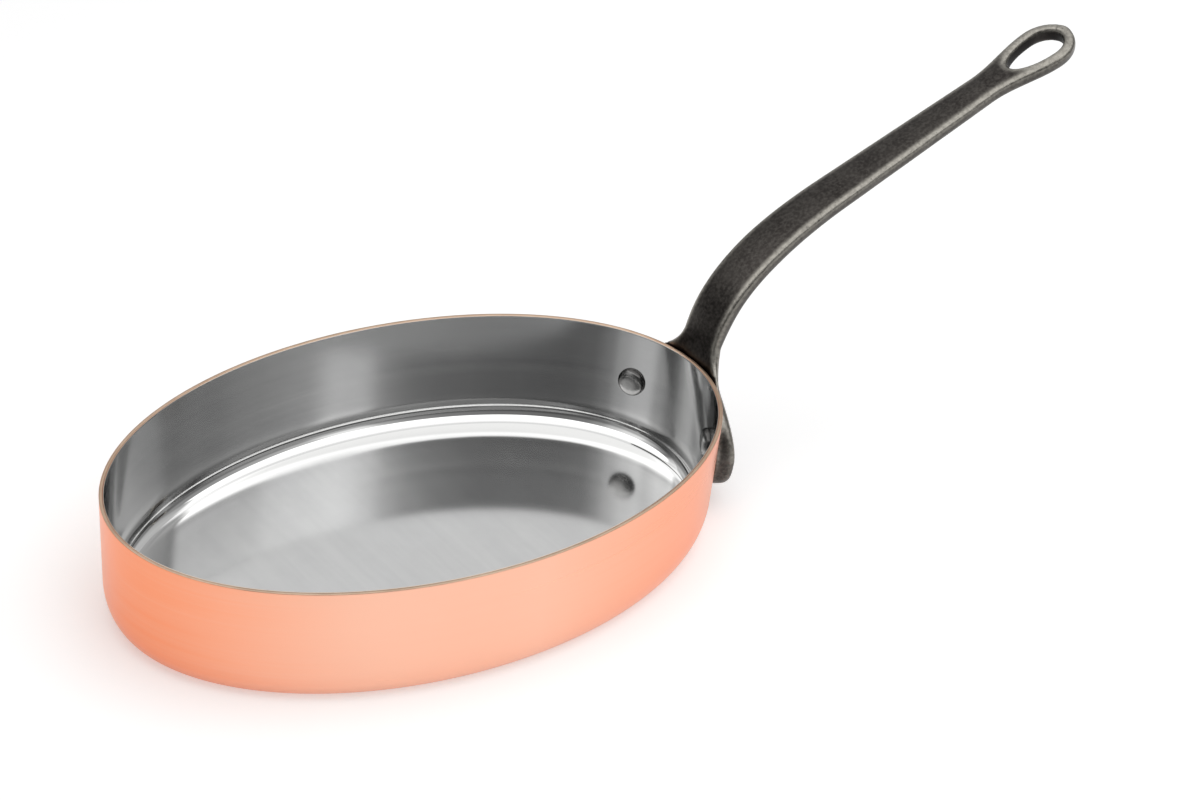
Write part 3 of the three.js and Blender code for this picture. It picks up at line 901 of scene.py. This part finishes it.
def cast_grain():
    """Sand-cast grain: raised grains and pits of a given size."""
    tree, start, end = group(
        "cast grain",
        [("Grains per metre", FLOAT, 900.0), ("Pit share", FLOAT, 0.4)],
        ["Height", "Pits"],
    )
    grain = noise(tree, start["Place"], start["Grains per metre"], detail=3.0, Roughness=0.6)
    fewer = worked_out(tree, "MULTIPLY", start["Grains per metre"], 0.45)
    cells = noise(tree, start["Place"], fewer, detail=1.0)
    pit_edge = worked_out(tree, "ADD", start["Pit share"], 0.08)
    pits = ranged(tree, cells, start["Pit share"], pit_edge, 1, 0, smooth=True)
    tree.links.new(worked_out(tree, "SUBTRACT", grain, pits), end["Height"])
    tree.links.new(pits, end["Pits"])
    return tree


POLISHING_LINES = polishing_lines()
CLOUDY_TONE = cloudy_tone()
CAST_GRAIN = cast_grain()


def effect(tree, group_tree, **values):
    """The outputs of an effect placed in a material."""
    return node(tree, "ShaderNodeGroup", {"node_tree": group_tree}, **values).outputs


def cloudy(tree, place, patches, contrast):
    """Cloudy tone of so many patches to the metre."""
    return effect(tree, CLOUDY_TONE, Place=place, Patches_per_metre=patches, Contrast=contrast)["Tone"]


# Finishes

def metal(name):
    """A metal material with its shader and the place on the piece."""
    material = bpy.data.materials.new(name)
    material.use_nodes = True
    tree = material.node_tree
    tree.nodes.clear()
    shader = node(tree, "ShaderNodeBsdfPrincipled", Metallic=1.0)
    node(tree, "ShaderNodeOutputMaterial", Surface=shader.outputs[0])
    place = tree.nodes.new("ShaderNodeTexCoord").outputs["Object"]
    return material, tree, shader.inputs, place


def surfaced(tree, inputs, colour, roughness, height, strength, distance):
    """Gives a shader its colour, roughness and bump."""
    tree.links.new(colour, inputs["Base Color"])
    tree.links.new(roughness, inputs["Roughness"])
    bump = node(tree, "ShaderNodeBump", Height=height, Strength=strength, Distance=distance)
    tree.links.new(bump.outputs[0], inputs["Normal"])


def at_rim(tree, z):
    """1 on the sheet's cut edge at the rim, 0 below it."""
    start, full = ((PAN_HEIGHT - below) * MM for below in CUT_BAND)
    return ranged(tree, z, start, full, 0, 1)


def oval_reach(tree, place):
    """Distance out from the pan's middle, 1 at the rim's outline all round."""
    to_outline = (1 / (half_length * MM), 1 / (half_width * MM), 0)
    return vectors(tree, "LENGTH", vectors(tree, "MULTIPLY", place, to_outline))


def copper_finish():
    """Satin-polished copper with painted shade, deeper and darker towards the ends, a painted sheen on its
    polishing lines, and the sheet's cut edge at the rim.
    """
    material, tree, shader, place = metal("satin copper")
    parts = split(tree, place)
    lines = effect(tree, POLISHING_LINES, Place=place, Stretch=(12, 12, 900), Breaks=0.5)
    far_end_shade = worked_out(tree, "POWER", ranged(tree, parts["X"], *FAR_END_SHADE, 0, 1), FAR_END_SHADE_SLOWNESS)
    handle_end_shade = ranged(tree, parts["X"], *HANDLE_END_SHADE, 0, HANDLE_END_SHADE_DEPTH)
    # end is the share of painted shade towards the pan's ends
    end = worked_out(tree, "MAXIMUM", far_end_shade, handle_end_shade)
    tone = cloudy(tree, place, patches=9.0, contrast=1.4)
    base = mixed(tree, end, mixed(tree, tone, *COPPER_PALE), mixed(tree, tone, *COPPER_END_SHADE))
    # Polishing lines with a painted sheen, lighter copper along them
    lined = tinted(tree, base, COPPER_LINE_SHEEN, lines["Shade"], depth=0.2)
    cut = mixed(tree, cloudy(tree, place, patches=60.0, contrast=2.0), *COPPER_CUT)
    rim = at_rim(tree, parts["Z"])
    satin = ranged(tree, lines["Shade"], 0, 1, *COPPER_ROUGHNESS)
    surfaced(tree, shader, mixed(tree, rim, lined, cut), blended(tree, rim, satin, CUT_ROUGHNESS),
             lines["Height"], strength=0.25, distance=0.00008)
    return material


def lining_finish():
    """Steel brushed round the wall, mirror smooth in the corner and satin in the floor's middle, with
    painted reflection streaks up the wall and a painted highlight, brighter steel, in the corner.
    """
    material, tree, shader, place = metal("brushed steel lining")
    height = split(tree, place)["Z"]
    wall_start, wall_full = ((CORNER_RISE + above) * MM for above in WALL_START)
    wall = ranged(tree, height, wall_start, wall_full, 0, 1, smooth=True)
    satin = ranged(tree, oval_reach(tree, place), *SATIN_EDGE, 1, 0, smooth=True)
    round_lines = effect(tree, POLISHING_LINES, Place=place, Stretch=(9, 9, 700), Breaks=0.5)
    floor_lines = effect(tree, POLISHING_LINES, Place=place, Stretch=(420, 20, 1), Breaks=0.5)
    # Painted reflection streaks running up the wall, darker steel laid on
    reflection_streaks = effect(tree, POLISHING_LINES, Place=place, Stretch=(110, 110, 5), Breaks=0.5)
    shade = blended(tree, wall, floor_lines["Shade"], round_lines["Shade"])
    base = mixed(tree, cloudy(tree, place, patches=14.0, contrast=1.2), *STEEL)
    reflection_streaked = tinted(tree, base, STEEL_REFLECTION_STREAK, reflection_streaks["Shade"], depth=0.3)
    lined = tinted(tree, reflection_streaked, STEEL_LINE, shade, depth=0.25)
    off_wall = ranged(tree, wall, 0, 1, 1, 0)
    off_satin = ranged(tree, satin, 0, 1, 1, 0)
    # Painted highlight: brighter steel where neither wall nor satin floor is, in the corner
    polished = mixed(tree, worked_out(tree, "MULTIPLY", off_wall, off_satin), lined, STEEL_CORNER_HIGHLIGHT)
    wall_rough = ranged(tree, shade, 0, 1, *WALL_ROUGHNESS)
    floor_rough = ranged(tree, satin, 0, 1, *FLOOR_ROUGHNESS)
    satin_lines = worked_out(tree, "MULTIPLY", floor_lines["Height"], satin)
    low_lines = worked_out(tree, "MULTIPLY", satin_lines, FLOOR_LINE_HEIGHT)
    surfaced(tree, shader, mixed(tree, at_rim(tree, height), polished, STEEL_CUT),
             blended(tree, wall, floor_rough, wall_rough),
             blended(tree, wall, low_lines, round_lines["Height"]), strength=0.045, distance=0.00006)
    return material


def iron_finish():
    """Dark oiled cast iron: mottled, with sand grain and a few pits, its edges lighter from rubbed wear and
    a painted highlight, and painted shade inside the hanging hole and against the pan."""
    material, tree, shader, place = metal("oiled cast iron")
    painted_shade_share = node(tree, "ShaderNodeAttribute", {"attribute_name": PAINTED_SHADE}).outputs["Fac"]
    worn_and_lit = node(tree, "ShaderNodeAttribute", {"attribute_name": WEAR_AND_HIGHLIGHT}).outputs["Fac"]
    grain = effect(tree, CAST_GRAIN, Place=place, Grains_per_metre=1100.0, Pit_share=0.26)
    base = mixed(tree, cloudy(tree, place, patches=70.0, contrast=2.0), *IRON)
    specks = cloudy(tree, place, patches=620.0, contrast=3.2)
    speckled = mixed(tree, ranged(tree, specks, 0.2, 1, 0, 0.5), base, IRON_SPECK)
    rubbed_highlight_share = worked_out(tree, "MULTIPLY", worn_and_lit, ranged(tree, specks, 0, 0.9, 0.6, 1))
    # Rounded edges lighter: rubbed wear and a painted highlight
    rubbed = mixed(tree, rubbed_highlight_share, speckled, IRON_RUBBED_HIGHLIGHT)
    pitted = tinted(tree, rubbed, IRON_PIT, grain["Pits"], depth=0.35)
    oiled = ranged(tree, specks, 0, 1, *IRON_ROUGHNESS)
    # Painted shade: near-black iron inside the hanging hole and against the pan
    surfaced(tree, shader, mixed(tree, painted_shade_share, pitted, IRON_SHADE),
             blended(tree, painted_shade_share, oiled, SHADED_ROUGHNESS),
             grain["Height"], strength=0.25, distance=0.0001)
    return material


def rivet_finish():
    """Struck steel rivets with small dents and a painted shade ring round the head's edge, blackened in the
    casting.
    """
    material, tree, shader, place = metal("struck rivet steel")
    outside = ranged(tree, oval_reach(tree, place), *RIVET_OUTSIDE, 0, 1)
    grain = effect(tree, CAST_GRAIN, Place=place, Grains_per_metre=300.0, Pit_share=0.3)
    tone = cloudy(tree, place, patches=160.0, contrast=2.0)
    dented = mixed(tree, grain["Pits"], mixed(tree, tone, *RIVET_BRIGHT), RIVET_DENT)
    foot = beside_wall(RIVET_SPACING / 2, RIVET_HEIGHT, -LINING_END) * MM
    from_foot = vectors(tree, "DISTANCE", vectors(tree, "ABSOLUTE", place), foot)
    head_edge = RIVET_HEAD_RADIUS * MM
    # Painted shade ring round the head's edge
    ring = ranged(tree, from_foot, RIVET_EDGE_SHADE_START * head_edge, head_edge, 0, RIVET_EDGE_SHADE_DEPTH)
    edge_shaded = mixed(tree, ring, dented, RIVET_EDGE_SHADE)
    polish = ranged(tree, tone, 0, 1, *RIVET_ROUGHNESS)
    surfaced(tree, shader, mixed(tree, outside, edge_shaded, RIVET_BLACKENED),
             blended(tree, outside, polish, BLACKENED_ROUGHNESS),
             grain["Height"], strength=0.14, distance=0.00015)
    return material


# The pan

copper_sheet = sheet(sheet_side(0, CORNER_REACH), inner_side(COPPER_DEPTH), 0, COPPER_DEPTH)
copper = finished(copper_sheet, "copper_shell", copper_finish())
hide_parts("copper_body")

lining_sheet = sheet(inner_side(LINING_START), inner_side(LINING_END), LINING_START, LINING_END)
lining = finished(lining_sheet, "lining_shell", lining_finish())
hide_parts("steel_lining")

casting_bm = casting()
casting_skin = BVHTree.FromBMesh(casting_bm)
handle = finished(casting_bm, "handle_casting", iron_finish())
mark_painted_shade(handle)
mark_wear_and_highlight(handle)
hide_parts("handle")

rivet_steel = rivet_finish()
for side, place_name in ((1, "left"), (-1, "right")):
    rivet_bm = rivet_piece(side, casting_skin)
    rivet = finished(rivet_bm, f"struck_rivet_{place_name}", rivet_steel)
    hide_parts(f"rivet_{place_name}")


# Studio

def studio_floor():
    """Large pale floor that reads as white and keeps the shadow. It glows for camera and metal alone,
    and more for the camera where it is far from the pan."""
    bm = bmesh.new()
    bmesh.ops.create_grid(bm, x_segments=1, y_segments=1, size=FLOOR_HALF)
    bmesh.ops.translate(bm, vec=(0, 0, -FLOOR_DROP), verts=bm.verts)
    floor = loose_object(bm, "studio_floor")
    material = bpy.data.materials.new("white floor")
    material.use_nodes = True
    tree = material.node_tree
    tree.nodes.clear()
    path = tree.nodes.new("ShaderNodeLightPath").outputs
    away = vectors(tree, "LENGTH", tree.nodes.new("ShaderNodeTexCoord").outputs["Object"])
    for_camera = ranged(tree, away, *FLOOR_GLOW_REACH, *FLOOR_GLOW, smooth=True)
    for_metal = worked_out(tree, "MULTIPLY", path["Is Glossy Ray"], FLOOR_GLOW_FOR_METAL)
    seen = worked_out(tree, "MULTIPLY_ADD", path["Is Camera Ray"], for_camera, for_metal)
    paper = node(tree, "ShaderNodeBsdfDiffuse", Color=PAPER)
    glow = node(tree, "ShaderNodeEmission", Color=WHITE, Strength=seen)
    both = node(tree, "ShaderNodeAddShader", i0=paper.outputs[0], i1=glow.outputs[0])
    node(tree, "ShaderNodeOutputMaterial", Surface=both.outputs[0])
    floor.data.materials.append(material)


def softbox():
    """Wide lamp overhead that makes the soft shadow. Metal mirrors the room's own light instead."""
    lamp = bpy.data.lights.new("overhead softbox", "AREA")
    lamp.shape = "RECTANGLE"
    lamp.size, lamp.size_y = LAMP_SIZE
    lamp.energy = LAMP_WATTS
    thing = bpy.data.objects.new("overhead softbox", lamp)
    thing.location = LAMP_PLACE
    thing.rotation_euler = (Vector(LAMP_AIM) - Vector(LAMP_PLACE)).to_track_quat("-Z", "Y").to_euler()
    thing.visible_glossy = False
    bpy.context.scene.collection.objects.link(thing)


def round_room(tree, turn, stops, full):
    """A value round the room from its (degrees, value) stops, which go up to a full value."""
    ring = node(tree, "ShaderNodeValToRGB", Fac=turn)
    ring.color_ramp.interpolation = "EASE"
    marks = ring.color_ramp.elements
    for i, (degrees, level) in enumerate(stops):
        mark = marks[i] if i < 2 else marks.new(1)
        mark.position = (degrees + 180) / 360
        mark.color = (level / full,) * 3 + (1,)
    return worked_out(tree, "MULTIPLY", ring.outputs[0], full)


def studio_air():
    """White for the camera; for metal a plain studio room; an even soft level for everything else."""
    world = bpy.data.worlds.new("studio air")
    world.use_nodes = True
    tree = world.node_tree
    tree.nodes.clear()
    path = tree.nodes.new("ShaderNodeLightPath").outputs
    way = split(tree, tree.nodes.new("ShaderNodeTexCoord").outputs["Generated"])
    turn = worked_out(tree, "ARCTAN2", way["Y"], way["X"])
    round_share = ranged(tree, turn, -math.pi, math.pi, 0, 1)
    ring = round_room(tree, round_share, ROOM, ROOM_FULL)
    rise = ranged(tree, way["Z"], *HORIZON, HORIZON_SHARE, 1, smooth=True)
    below = worked_out(tree, "MULTIPLY", ring, rise)
    edge_rise = round_room(tree, round_share, LIGHT_EDGE, UPRIGHT)
    edge = worked_out(tree, "SINE", worked_out(tree, "RADIANS", edge_rise))
    above = worked_out(tree, "SUBTRACT", way["Z"], edge)
    in_light = ranged(tree, above, -LIGHT_SOFTNESS, LIGHT_SOFTNESS, 0, 1, smooth=True)
    light_level = ranged(tree, way["Z"], *LIGHT_CROWN, LIGHT_LEVEL, CROWN_LEVEL, smooth=True)
    lit = blended(tree, in_light, below, light_level)
    for_metal = mixed(tree, path["Is Glossy Ray"], (AIR_LEVEL,) * 3 + (1,), lit)
    clear = worked_out(tree, "MAXIMUM", path["Is Camera Ray"], path["Is Transmission Ray"])
    colour = mixed(tree, clear, for_metal, WHITE)
    light = node(tree, "ShaderNodeBackground", Color=colour, Strength=1.0)
    node(tree, "ShaderNodeOutputWorld", Surface=light.outputs[0])
    bpy.context.scene.world = world


def camera():
    view = bpy.data.cameras.new("view")
    view.lens = CAMERA_LENS
    view.sensor_width = CAMERA_SENSOR
    view.clip_end = CAMERA_REACH
    thing = bpy.data.objects.new("view", view)
    thing.location = CAMERA_PLACE
    thing.rotation_euler = [math.radians(angle) for angle in CAMERA_TURN]
    bpy.context.scene.collection.objects.link(thing)
    bpy.context.scene.camera = thing


studio_floor()
studio_air()
softbox()
camera()
bpy.context.scene.view_settings.view_transform = "Standard"
